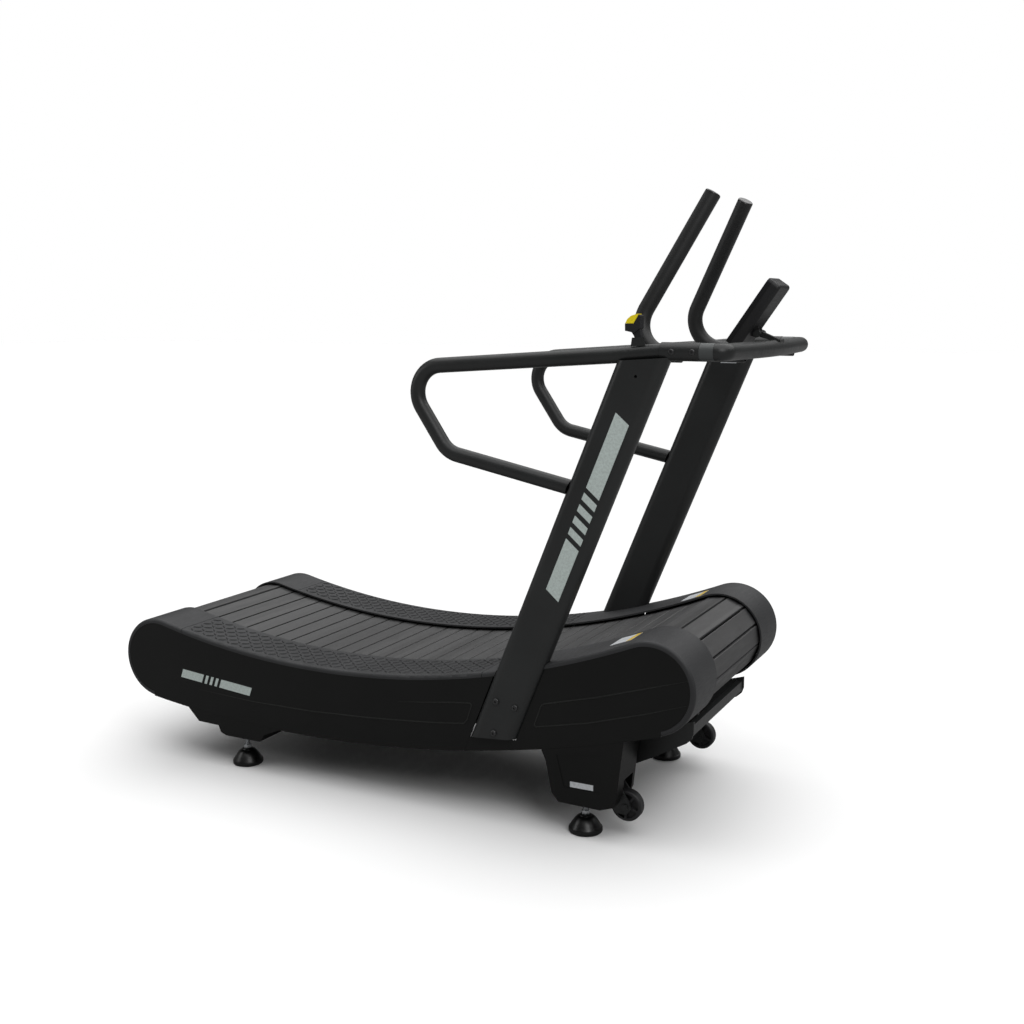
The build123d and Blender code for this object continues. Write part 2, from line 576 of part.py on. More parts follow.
grip_end = along(HANDLE_BEND, HANDLE_END, 0.5)
grip_path = FilletPolyline(HANDLE_TOP, HANDLE_BEND, grip_end, radius=HANDLE_RADIUS)
core_path = FilletPolyline(along(HANDLE_TOP, HANDLE_BEND, 0.005), HANDLE_BEND, HANDLE_END,
                           radius=HANDLE_RADIUS)
core = pipe(core_path, GRIP_R - 4, GRIP_R - 7) - pipe(bar_path, BAR_R)
core = core.solids().sort_by(SortBy.VOLUME)[-1]
grip = pipe(grip_path, GRIP_R, GRIP_R - 4)
grip_direction = Vector(*HANDLE_TOP) - Vector(*HANDLE_BEND)
cap_plane = Plane(origin=HANDLE_TOP, z_dir=grip_direction)
cap = extrude(cap_plane * Circle(GRIP_R), amount=7)
cap = fillet(cap.edges().sort_by(Axis.Z)[-1], 5)
PARTS["handles"] = group(core, mirrored(core))
PARTS["handle_grips"] = group(grip, mirrored(grip))
PARTS["handle_caps"] = group(cap, mirrored(cap))

# ---- resistance lever ----------------------------------------------------------------
LEVER_PIVOT = (752.0, 1367.0)
LEVER_Y0, LEVER_Y1 = -399.0, -371.0
base = prism(polygon([(733, 1352), (771, 1354), (768, 1372), (760, 1377), (744, 1377), (736, 1370)]),
             LEVER_Y0 + 5, LEVER_Y1 - 5)
base -= pipe(handrail_path(), TUBE_R)
cheeks = [prism(polygon([(733, 1352), (771, 1354), (768, 1376), (736, 1374)]), y - 2, y + 2)
          for y in (LEVER_Y0 + 2, LEVER_Y1 - 2)]
lever_slot = block(720, 780, LEVER_Y0 + 4.3, LEVER_Y1 - 4.3, 1356, 1400)
housing = (base + cheeks[0] + cheeks[1]) - lever_slot - pipe(handrail_path(), TUBE_R)
PARTS["lever_housing"] = housing.solids().sort_by(SortBy.VOLUME)[-1] + rod(
    LEVER_PIVOT, LEVER_Y0, LEVER_Y1, 3)


def lever():
    """Curved stem with a wedge head, leaning back towards the runner."""
    stem = Face(Wire([
        ThreePointArc((744, 0, 1362), (737, 0, 1382), (722, 0, 1396)).edge(),
        Edge.make_line((722, 0, 1396), (752, 0, 1404)),
        ThreePointArc((752, 0, 1404), (757, 0, 1384), (760, 0, 1362)).edge(),
        Edge.make_line((760, 0, 1362), (744, 0, 1362)),
    ]))
    head = polygon([(717, 1391), (716.5, 1409.2), (739.7, 1409.2), (754, 1431), (757, 1428),
                    (757, 1398), (742, 1386)])
    solid = prism(stem, LEVER_Y0 + 5, LEVER_Y1 - 5) + prism(head, LEVER_Y0, LEVER_Y1)
    return solid - rod(LEVER_PIVOT, -420, -350, 3.05)


PARTS["lever"] = lever()
cap_profile = polygon([(717, 1409.5), (722, 1420), (732, 1428.5), (748, 1433.5), (752.5, 1432.5),
                       (739.4, 1409.5)])
PARTS["lever_cap"] = prism(cap_profile, LEVER_Y0 + 1, LEVER_Y1 - 1)

# ---- console ------------------------------------------------------------------------
CONSOLE_TILT = 34.3
CONSOLE_W, CONSOLE_H, CONSOLE_D = 114.0, 205.0, 40.0
CONSOLE_LOW = (873.6, 1357.7)   # lower edge of the front face


def on_console(shape):
    """Place a shape drawn with X depth, Y width, Z height along the console's face."""
    return Location((CONSOLE_LOW[0], 0, CONSOLE_LOW[1]), (0, CONSOLE_TILT, 0)) * shape


front_frame = Location((7, 0, CONSOLE_H / 2)) * Box(14, CONSOLE_W, CONSOLE_H)
front_frame = fillet(front_frame.edges().filter_by(Axis.X), 12)
front_frame -= Location((0, 0, 128)) * Box(6, 88, 116)
front_frame -= Location((7, 0, 128)) * Box(16, 80, 108)
BUTTON_Z, BUTTON_Y, BUTTON_R = 40.0, 24.0, 9.0
for side in (-1, 1):
    front_frame -= Location((7, side * BUTTON_Y, BUTTON_Z), (0, 90, 0)) * Cylinder(BUTTON_R + 0.3, 20)
back = Location((14.3 + 13, 0, CONSOLE_H / 2)) * Box(26, CONSOLE_W, CONSOLE_H)
back = fillet(back.edges().filter_by(Axis.X), 12)
back = fillet(back.faces().sort_by(Axis.X)[-1].edges(), 9)
back -= Location((14 + 10, 0, CONSOLE_H / 2)) * Box(22, CONSOLE_W - 8, CONSOLE_H - 8)
PARTS["console_bezel"] = on_console(front_frame)
PARTS["console_lens"] = on_console(Location((1.6, 0, 128)) * Box(2.4, 87.4, 115.4))
for side, button_name in ((-1, "console_button_right"), (1, "console_button_left")):
    button = Location((5, side * BUTTON_Y, BUTTON_Z), (0, 90, 0)) * Cylinder(BUTTON_R, 14)
    PARTS[button_name] = on_console(button)

PIVOT_U, PIVOT_W = 54.0, 62.0   # tilt pin, behind and above the console's lower edge


def console_point(u, w):
    a = radians(CONSOLE_TILT)
    return (CONSOLE_LOW[0] + u * cos(a) + w * sin(a), CONSOLE_LOW[1] - u * sin(a) + w * cos(a))


TILT_PIN = console_point(PIVOT_U, PIVOT_W)
lug = polygon([(TILT_PIN[0] - 9, TILT_PIN[1] - 9), (TILT_PIN[0] + 9, TILT_PIN[1] - 5),
               console_point(40, PIVOT_W + 18), console_point(40, PIVOT_W - 16)])
lugs = prism(lug, -16, -10) + prism(lug, 10, 16)
lugs += on_console(block(40, 43, -16, 16, PIVOT_W - 16, PIVOT_W + 18))
PARTS["console_back"] = on_console(back) + (lugs - rod(TILT_PIN, -30, 30, 4.05))
strut = polygon([(TILT_PIN[0] + 5, TILT_PIN[1] + 7), (1014, 1362), (986, 1362),
                 (TILT_PIN[0] - 5, TILT_PIN[1] - 7)])
arm = prism(strut, -9.6, 9.6) + rod(TILT_PIN, -9.6, 9.6, 9)
arm += block(984, 1016, -22, 22, BAR_Z + 8, BAR_Z + 24)
arm -= pipe(bar_path, BAR_R)
pin = rod(TILT_PIN, -19, 19, 4)
knobs = [rod(TILT_PIN, y0, y1, 10) for y0, y1 in ((-31, -19), (19, 31))]
PARTS["console_bracket"] = group(arm + pin, *knobs)

os.makedirs("parts", exist_ok=True)
for part_name, part_shape in PARTS.items():
    export_step(part_shape, f"parts/{part_name}.step")
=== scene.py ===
import json
from math import asin, cos, pi, radians, sin, tau

import bmesh
import bpy
from bpy.props import FloatProperty, FloatVectorProperty, IntProperty, PointerProperty
from mathutils import Euler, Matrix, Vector


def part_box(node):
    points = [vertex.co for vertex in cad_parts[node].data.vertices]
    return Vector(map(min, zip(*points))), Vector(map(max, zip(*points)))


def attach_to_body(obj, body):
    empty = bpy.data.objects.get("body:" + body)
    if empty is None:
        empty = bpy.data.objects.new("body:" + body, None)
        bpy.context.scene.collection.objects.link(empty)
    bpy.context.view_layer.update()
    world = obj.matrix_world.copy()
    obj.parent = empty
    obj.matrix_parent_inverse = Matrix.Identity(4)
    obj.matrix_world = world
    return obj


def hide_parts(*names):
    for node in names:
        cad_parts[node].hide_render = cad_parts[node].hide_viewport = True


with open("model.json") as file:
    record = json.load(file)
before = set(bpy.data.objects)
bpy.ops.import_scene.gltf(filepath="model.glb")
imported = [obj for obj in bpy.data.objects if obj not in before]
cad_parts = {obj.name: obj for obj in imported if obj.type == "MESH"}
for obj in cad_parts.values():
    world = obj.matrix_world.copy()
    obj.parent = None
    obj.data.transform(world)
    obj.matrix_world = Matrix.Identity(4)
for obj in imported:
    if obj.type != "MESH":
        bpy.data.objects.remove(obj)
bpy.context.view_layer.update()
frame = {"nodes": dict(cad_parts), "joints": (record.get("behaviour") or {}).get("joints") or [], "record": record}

bl_info = {
    "name": "Curved Manual Treadmill",
    "version": (1, 0, 0),
    "blender": (4, 5, 0),
    "location": "View3D > Sidebar > Treadmill",
    "description": "Finishes, tread plates, feet, labels and stage of a curved slat-belt treadmill",
    "category": "Object",
}

MM = 0.001
JOINTS = {joint["name"]: joint for joint in frame["joints"]}
SIDES = {"right": -1, "left": 1}        # the runner's right is -Y
CURVE = Vector(JOINTS["belt_travel"]["pos_m"])      # middle of the concave running curve
FRONT_DRUM = Vector(JOINTS["front_drum_spin"]["pos_m"])
PAD_LOW, PAD_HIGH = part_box("foot_pad_right")
COVER_Y = -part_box("side_cover_front_right")[0].y
UPRIGHT_Y = -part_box("upright_right")[0].y
LEAN = radians(22)                      # of the uprights, forwards
RECESS = 1.5 * MM                       # depth of the front housings' sunk panels
RAIL_OVER_DRUM = 130 * MM               # rail top above the drum's axis
RAIL_R = (Vector((FRONT_DRUM.x, 0, FRONT_DRUM.z)) - CURVE).length - RAIL_OVER_DRUM

# Blank stickers: the ends of each along X, then across or up.
RAIL_LABEL_X, RAIL_LABEL_Y = (0.660, 0.722), (0.245, 0.335)
RAIL_HEAD_X, RAIL_HEAD_INSET = (0.707, 0.7215), 0.002
HOUSING_LABEL_X, HOUSING_LABEL_Z = (0.574, 0.643), (0.150, 0.166)
UPRIGHT_LABEL = [(0.733, 1.281), (0.783, 1.281), (0.787, 1.292), (0.737, 1.292)]

# Rows of pale bars: where the row starts in X and Z, each bar's length, height and gap.
UPRIGHT_BARS = ((0.5425, 0.670), [0.155, 0.020, 0.020, 0.020, 0.020, 0.215], 0.046, 0.014)
COVER_BARS = ((-0.795, 0.277), [0.085, 0.010, 0.010, 0.010, 0.120], 0.028, 0.010)
BAR_SLANT = 0.35                        # of a bar's height

# Levelling feet, above the floor or from the stud's axis.
DOME_TOP = 50 * MM
STUD_R = 7.4 * MM
NUT_R, NUT_TOP = 12 * MM, 63 * MM
THREAD_DEPTH = 0.6 * MM

FLOOR_REACH = 40.0
CAMERA_PLACE = (1.9038, -3.3830, 1.4500)
CAMERA_TURN = (80.69, 0, 26.80)         # degrees
CAMERA_LENS, CAMERA_SENSOR = 43.93, 36  # millimetres


# ---- small builders ------------------------------------------------------------------
def link(mesh, name, material, smooth_angle=radians(35)):
    """A new object at the origin that shows a mesh with one material."""
    obj = bpy.data.objects.new(name, mesh)
    bpy.context.scene.collection.objects.link(obj)
    mesh.materials.clear()
    mesh.materials.append(material)
    mesh.shade_smooth()
    mesh.set_sharp_from_angle(angle=smooth_angle)
    return obj


def solid(name, material, build, smooth_angle=radians(35)):
    """Object made by a function that fills a bmesh."""
    bm = bmesh.new()
    build(bm)
    bmesh.ops.remove_doubles(bm, verts=bm.verts, dist=1e-6)
    bmesh.ops.recalc_face_normals(bm, faces=bm.faces)
    mesh = bpy.data.meshes.new(name)
    bm.to_mesh(mesh)
    bm.free()
    return link(mesh, name, material, smooth_angle)


def attach(obj, body):
    """Fixes a piece to the body that carries it."""
    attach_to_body(obj, body)
    return obj


def lathe(bm, profile, centre, steps=64):
    """Closed body turned about the vertical through centre; profile is (radius, height)."""
    rings = []
    for radius, height in profile:
        if radius < 1e-6:
            rings.append([bm.verts.new((centre.x, centre.y, height))])
            continue
        rings.append([bm.verts.new((centre.x + radius * cos(tau * k / steps),
                                    centre.y + radius * sin(tau * k / steps), height))
                      for k in range(steps)])
    for lower, upper in zip(rings, rings[1:]):
        for k in range(steps):
            corners = [lower[k % len(lower)], lower[(k + 1) % len(lower)],
                       upper[(k + 1) % len(upper)], upper[k % len(upper)]]
            unique = list(dict.fromkeys(corners))
            if len(unique) > 2:
                bm.faces.new(unique)


def plate(bm, corners, normal, thickness):
    """Thin closed plate on a flat outline, raised along its normal."""
    low = [bm.verts.new(c) for c in corners]
    high = [bm.verts.new(Vector(c) + Vector(normal) * thickness) for c in corners]
    bm.faces.new(low)
    bm.faces.new(high)
    count = len(corners)
    for k in range(count):
        following = (k + 1) % count
        bm.faces.new((low[k], low[following], high[following], high[k]))


def on_rail(distance, y, height):
    """Point on the concave rail: distance along it from its low point, height above it."""
    turn = distance / RAIL_R
    radius = RAIL_R - height
    return Vector((CURVE.x + radius * sin(turn), y, CURVE.z - radius * cos(turn)))


def along_rail(x):
    """Distance along the rail, from its low point, at which it reaches x."""
    return asin((x - CURVE.x) / RAIL_R) * RAIL_R


# ---- materials -----------------------------------------------------------------------
def new_finish(name, colour, roughness, metallic=0.0, specular=0.5):
    material = bpy.data.materials.new(name)
    material.use_nodes = True
    tree = material.node_tree
    shader = tree.nodes["Principled BSDF"]
    shader.inputs["Base Color"].default_value = (*colour, 1)
    shader.inputs["Roughness"].default_value = roughness
    shader.inputs["Metallic"].default_value = metallic
    shader.inputs["Specular IOR Level"].default_value = specular
    material.diffuse_color = (*colour, 1)
    return material, tree, shader


def coordinates(tree, scale=(1, 1, 1)):
    source = tree.nodes.new("ShaderNodeTexCoord")
    mapping = tree.nodes.new("ShaderNodeMapping")
    mapping.inputs["Scale"].default_value = scale
    tree.links.new(source.outputs["Object"], mapping.inputs["Vector"])
    return mapping.outputs["Vector"]


def noise(tree, vector, scale, detail=3.0, roughness=0.5):
    node = tree.nodes.new("ShaderNodeTexNoise")
    node.inputs["Scale"].default_value = scale
    node.inputs["Detail"].default_value = detail
    node.inputs["Roughness"].default_value = roughness
    tree.links.new(vector, node.inputs["Vector"])
    return node.outputs["Fac"]


def spread(tree, value, low, high, start=0.3, end=0.7):
    """Maps a pattern onto the range from low to high."""
    node = tree.nodes.new("ShaderNodeMapRange")
    node.inputs["From Min"].default_value = start
    node.inputs["From Max"].default_value = end
    node.inputs["To Min"].default_value = low
    node.inputs["To Max"].default_value = high
    tree.links.new(value, node.inputs["Value"])
    return node.outputs["Result"]


def two_tone(tree, shader, value, first, second):
    """Base colour that runs from the first tone to the second as value rises."""
    node = tree.nodes.new("ShaderNodeMix")
    node.data_type = "RGBA"
    node.inputs["A"].default_value = (*first, 1)
    node.inputs["B"].default_value = (*second, 1)
    tree.links.new(value, node.inputs["Factor"])
    tree.links.new(node.outputs["Result"], shader.inputs["Base Color"])


def darken(tree, shader, amount):
    """Fades the base colour towards black where amount rises to 1."""
    node = tree.nodes.new("ShaderNodeMix")
    node.data_type = "RGBA"
    node.inputs["B"].default_value = (0, 0, 0, 1)
    colour = shader.inputs["Base Color"].links[0].from_socket
    tree.links.new(colour, node.inputs["A"])
    tree.links.new(amount, node.inputs["Factor"])
    tree.links.new(node.outputs["Result"], shader.inputs["Base Color"])


def relief(tree, shader, value, strength, depth):
    """Bumps the surface by a pattern."""
    node = tree.nodes.new("ShaderNodeBump")
    node.inputs["Strength"].default_value = strength
    node.inputs["Distance"].default_value = depth
    tree.links.new(value, node.inputs["Height"])
    tree.links.new(node.outputs["Normal"], shader.inputs["Normal"])


def combine(tree, first, second, operation="ADD"):
    """Result of a maths node on two values, each a number or a socket."""
    node = tree.nodes.new("ShaderNodeMath")
    node.operation = operation
    for socket, value in zip(node.inputs, (first, second)):
        if isinstance(value, float):
            socket.default_value = value
        else:
            tree.links.new(value, socket)
    return node.outputs["Value"]


def lighter(colour, factor):
    return tuple(min(1.0, c * factor) for c in colour)


def powder_coat(name, colour):
    """Satin powder coat: fine orange peel and a slow drift in tone and gloss."""
    material, tree, shader = new_finish(name, colour, 0.38, specular=0.4)
    vector = coordinates(tree)
    drift = noise(tree, vector, 4.5, 2)
    two_tone(tree, shader, spread(tree, drift, 0, 1), lighter(colour, 0.85), lighter(colour, 1.2))
    peel = noise(tree, vector, 900, 2)
    gloss = combine(tree, noise(tree, vector, 60, 3), drift, "MULTIPLY")
    tree.links.new(spread(tree, gloss, 0.36, 0.5, 0.1, 0.5), shader.inputs["Roughness"])
    relief(tree, shader, peel, 0.22, 0.0004)
    return material


def moulded(name, colour, roughness, texture=700.0, strength=0.25):
    """Moulded plastic with a spark-eroded grain and faint handling marks."""
    material, tree, shader = new_finish(name, colour, roughness, specular=0.22)
    vector = coordinates(tree)
    cloud = noise(tree, vector, 7, 3)
    two_tone(tree, shader, spread(tree, cloud, 0, 1), lighter(colour, 0.88), lighter(colour, 1.15))
    grain = noise(tree, vector, texture, 4, 0.65)
    scuffs = noise(tree, coordinates(tree, (3, 1, 14)), 26, 4, 0.7)
    tree.links.new(spread(tree, scuffs, roughness - 0.05, roughness + 0.07),
                   shader.inputs["Roughness"])
    relief(tree, shader, grain, strength, 0.0003)
    return material


def slat_rubber(name, colour, painted_wall_shade=1.0):
    """Rubber slats: each a little different in shade, with a fine ground surface.

    The last argument, below 1, darkens the upright walls between slats: painted shade for the
    gaps between slats, which lie in shadow; a wall is a face that points this far along X, which the tops never
    do.
    """
    # How far along X a face must point to take the painted shade of a wall between slats.
    wall_start, wall_end = 0.62, 0.8
    material, tree, shader = new_finish(name, colour, 0.52)
    vector = coordinates(tree)
    split = tree.nodes.new("ShaderNodeSeparateXYZ")
    tree.links.new(vector, split.inputs["Vector"])
    across = combine(tree, split.outputs["X"], -CURVE.x, "ADD")
    down = combine(tree, CURVE.z, split.outputs["Z"], "SUBTRACT")
    angle = combine(tree, across, down, "ARCTAN2")
    step = 2 * radians(JOINTS["belt_travel"]["range_deg"][1])
    number = combine(tree, combine(tree, angle, step, "DIVIDE"), 0.0, "FLOOR")
    shade = tree.nodes.new("ShaderNodeTexWhiteNoise")
    shade.noise_dimensions = "1D"
    tree.links.new(number, shade.inputs["W"])
    cloud = noise(tree, coordinates(tree, (6, 1, 6)), 9, 4)
    mixed = combine(tree, combine(tree, shade.outputs["Value"], 0.5, "MULTIPLY"),
                combine(tree, cloud, 0.5, "MULTIPLY"))
    surface = tree.nodes.new("ShaderNodeNewGeometry")
    facing = tree.nodes.new("ShaderNodeSeparateXYZ")
    tree.links.new(surface.outputs["True Normal"], facing.inputs["Vector"])
    level = combine(tree, facing.outputs["X"], 0.0, "ABSOLUTE")
    two_tone(tree, shader, spread(tree, mixed, 0, 1, 0.15, 0.85), lighter(colour, 0.72),
             lighter(colour, 1.3))
    # Painted shade: faces turned along X, the walls in the gaps between slats, darken towards black.
    darken(tree, shader, spread(tree, level, 0, 1 - painted_wall_shade, wall_start, wall_end))
    ground = noise(tree, coordinates(tree, (1, 0.06, 1)), 1300, 2)
    tree.links.new(spread(tree, cloud, 0.44, 0.62), shader.inputs["Roughness"])
    relief(tree, shader, ground, 0.3, 0.0003)
    return material


def soft_rubber(name, colour, roughness, texture=420.0, strength=0.25):
    """Matt rubber with light dust on a fine grain."""
    material, tree, shader = new_finish(name, colour, roughness)
    vector = coordinates(tree)
    dust = noise(tree, vector, 34, 5, 0.7)
    two_tone(tree, shader, spread(tree, dust, 0, 1, 0.45, 0.85), colour, lighter(colour, 1.9))
    tree.links.new(spread(tree, dust, roughness - 0.04, roughness + 0.12),
                   shader.inputs["Roughness"])
    relief(tree, shader, noise(tree, vector, texture, 3), strength, 0.0004)
    return material


def grip_foam(name, colour):
    """Closed-cell sleeve: fine pores over a slow waviness, with a skin sheen."""
    material, tree, shader = new_finish(name, colour, 0.5)
    vector = coordinates(tree)
    cells = tree.nodes.new("ShaderNodeTexVoronoi")
    cells.inputs["Scale"].default_value = 900
    tree.links.new(vector, cells.inputs["Vector"])
    shader.inputs["Sheen Weight"].default_value = 0.15
    shader.inputs["Sheen Roughness"].default_value = 0.4
    wave = noise(tree, vector, 40, 3)
    two_tone(tree, shader, spread(tree, wave, 0, 1), lighter(colour, 0.85), lighter(colour, 1.3))
    relief(tree, shader, combine(tree, cells.outputs["Distance"], wave), 0.2, 0.0003)
    return material


def metal(name, colour, roughness, grain=(1, 1, 1), scale=600.0):
    """Machined or plated metal; grain squeezes the brushing along an axis."""
    material, tree, shader = new_finish(name, colour, roughness, 1.0)
    brushing = noise(tree, coordinates(tree, grain), scale, 3)
    tarnish = noise(tree, coordinates(tree), 45, 4)
    two_tone(tree, shader, spread(tree, tarnish, 0, 1), lighter(colour, 0.8), colour)
    tree.links.new(spread(tree, brushing, roughness - 0.06, roughness + 0.1),
                   shader.inputs["Roughness"])
    relief(tree, shader, brushing, 0.2, 0.0002)
    return material


def gloss(name, colour, roughness=0.12, coat=0.6):
    """Glossy plastic under a clear coat, with faint smears."""
    material, tree, shader = new_finish(name, colour, roughness)
    shader.inputs["Coat Weight"].default_value = coat
    shader.inputs["Coat Roughness"].default_value = 0.06
    vector = coordinates(tree)
    smears = noise(tree, vector, 55, 4, 0.6)
    tree.links.new(spread(tree, smears, roughness, roughness + 0.12), shader.inputs["Roughness"])
    two_tone(tree, shader, spread(tree, noise(tree, vector, 12), 0, 1), lighter(colour, 0.92),
             lighter(colour, 1.08))
    relief(tree, shader, noise(tree, vector, 220, 1), 0.05, 0.0003)
    return material


def printed(name, colour):
    """Printed or stuck-on film with slight mottling and worn spots."""
    material, tree, shader = new_finish(name, colour, 0.45)
    vector = coordinates(tree)
    wear = noise(tree, vector, 160, 5, 0.75)
    two_tone(tree, shader, spread(tree, wear, 0, 1, 0.35, 0.6), lighter(colour, 0.78), colour)
    relief(tree, shader, noise(tree, vector, 500, 2), 0.1, 0.0002)
    return material


MATERIALS = {}


def make_finishes(colours):
    coat, cover = tuple(colours.powder_coat), tuple(colours.covers)
    MATERIALS.update({
        "black_powder_coat": powder_coat("Black powder coat", coat),
        "black_cover_plastic": moulded("Black moulded cover", cover, 0.4, 800, 0.2),
        "rail_plastic": moulded("Dark grey rail plastic", tuple(colours.rails), 0.46, 480, 0.5),
        "slat_rubber": slat_rubber("Dark grey slat rubber", tuple(colours.slats)),
        # The flat runs get painted shade on the walls between slats, dimmed to a tenth of their colour.
        "slat_rubber_run": slat_rubber("Dark grey slat rubber, flat runs", tuple(colours.slats),
                                       0.1),
        "belt_rubber": soft_rubber("Black belt rubber", (0.012, 0.012, 0.012), 0.6),
        "wheel_rubber": soft_rubber("Black wheel rubber", (0.012, 0.012, 0.013), 0.5),
        "foot_rubber": soft_rubber("Glossy foot rubber", (0.004, 0.004, 0.004), 0.3, 200, 0.1),
        "grip_rubber": grip_foam("Black grip sleeve", (0.007, 0.0073, 0.0076)),
        "pulley_aluminium": metal("Machined aluminium", (0.6, 0.61, 0.63), 0.35),
        "disc_aluminium": metal("Turned aluminium disc", (0.64, 0.65, 0.66), 0.28),
        "bright_steel": metal("Ground steel", (0.52, 0.52, 0.53), 0.3, (1, 0.05, 1)),
        "grey_iron": metal("Painted grey iron", (0.16, 0.16, 0.17), 0.5),
        "zinc_plate": metal("Zinc plate", (0.68, 0.7, 0.72), 0.24),
        "black_bolt": gloss("Black oxide bolt", (0.016, 0.016, 0.017), 0.26, 0.25),
        "grey_collar": powder_coat("Dark grey collar", (0.065, 0.07, 0.07)),
        "gloss_black_plastic": gloss("Glossy black cap", (0.008, 0.008, 0.008), 0.24, 0.2),
        "lever_plastic": moulded("Lever plastic", (0.02, 0.02, 0.022), 0.42, 650, 0.3),
        "yellow_plastic": gloss("Yellow cap", (1.0, 0.76, 0.008), 0.3, 0.3),
        "console_grey_plastic": moulded("Console grey plastic", (0.02, 0.02, 0.021), 0.42),
        "console_black_plastic": moulded("Console black plastic", (0.012, 0.012, 0.013), 0.38),
        "console_lens": gloss("Smoked display window", (0.012, 0.016, 0.018), 0.08, 1.0),
        "button_plastic": moulded("Soft-touch button", (0.09, 0.09, 0.092), 0.55),
        # The outlines are the cover's plastic painted four times lighter: a painted highlight for the light their
        # ridges catch.
        "moulding_line": moulded("Smooth moulding line", lighter(cover, 4), 0.3, 800, 0.1),
        "pale_print": printed("Pale printed mark", tuple(colours.marks)),
        "white_film": printed("White label film", (0.62, 0.64, 0.66)),
        "yellow_film": printed("Yellow label film", (0.75, 0.52, 0.05)),
    })


def paint(node, material):
    """Gives a CAD node its finish through its own material slots."""
    obj = frame["nodes"][node]
    if not obj.material_slots:
        obj.data.materials.append(material)
    for slot in obj.material_slots:
        slot.material = material


# ---- geometry nodes ------------------------------------------------------------------
class Tree:
    """A geometry node tree with named inputs, built left to right."""

    def __init__(self, name, sockets):
        self.group = bpy.data.node_groups.new(name, "GeometryNodeTree")
        self.group.interface.new_socket("Geometry", in_out="OUTPUT",
                                        socket_type="NodeSocketGeometry")
        self.identifiers = {}
        for label, value in sockets.items():
            kind = "NodeSocketInt" if isinstance(value, int) else "NodeSocketFloat"
            socket = self.group.interface.new_socket(label, in_out="INPUT", socket_type=kind)
            socket.default_value = value
            self.identifiers[label] = socket.identifier
        self.inputs = self.group.nodes.new("NodeGroupInput")
        self.outputs = self.group.nodes.new("NodeGroupOutput")

    def node(self, kind, values=None, **settings):
        node = self.group.nodes.new(kind)
        for key, value in settings.items():
            setattr(node, key, value)
        for key, value in (values or {}).items():
            self.feed(node.inputs[key], value)
        return node

    def feed(self, socket, value):
        if isinstance(value, bpy.types.NodeSocket):
            self.group.links.new(value, socket)
        else:
            socket.default_value = value

    def given(self, label):
        return self.inputs.outputs[label]

    def maths(self, operation, first, second=0.0):
        node = self.node("ShaderNodeMath", operation=operation)
        self.feed(node.inputs[0], first)
        self.feed(node.inputs[1], second)
        return node.outputs[0]

    def vector(self, x, y, z):
        return self.node("ShaderNodeCombineXYZ", {"X": x, "Y": y, "Z": z}).outputs[0]

    def finish(self, geometry, material):
        real = self.node("GeometryNodeRealizeInstances", {"Geometry": geometry})
        shown = self.node("GeometryNodeSetMaterial", {"Geometry": real.outputs[0],
                                                      "Material": material})
        self.group.links.new(shown.outputs[0], self.outputs.inputs[0])


def grown(tree, name, values, material):
    """Runs a node tree and returns its result as a plain mesh object at the origin."""
    holder = bpy.data.objects.new(name + "_tree", bpy.data.meshes.new(name + "_seed"))
    bpy.context.scene.collection.objects.link(holder)
    modifier = holder.modifiers.new("Nodes", "NODES")
    modifier.node_group = tree.group
    for label, value in values.items():
        modifier[tree.identifiers[label]] = value
    bpy.context.view_layer.update()
    evaluated = holder.evaluated_get(bpy.context.evaluated_depsgraph_get())
    mesh = bpy.data.meshes.new_from_object(evaluated)
    mesh.name = name
    bpy.data.objects.remove(holder)
    if not mesh.polygons:
        raise RuntimeError(f"the node tree of {name} made no faces")
    return link(mesh, name, material)


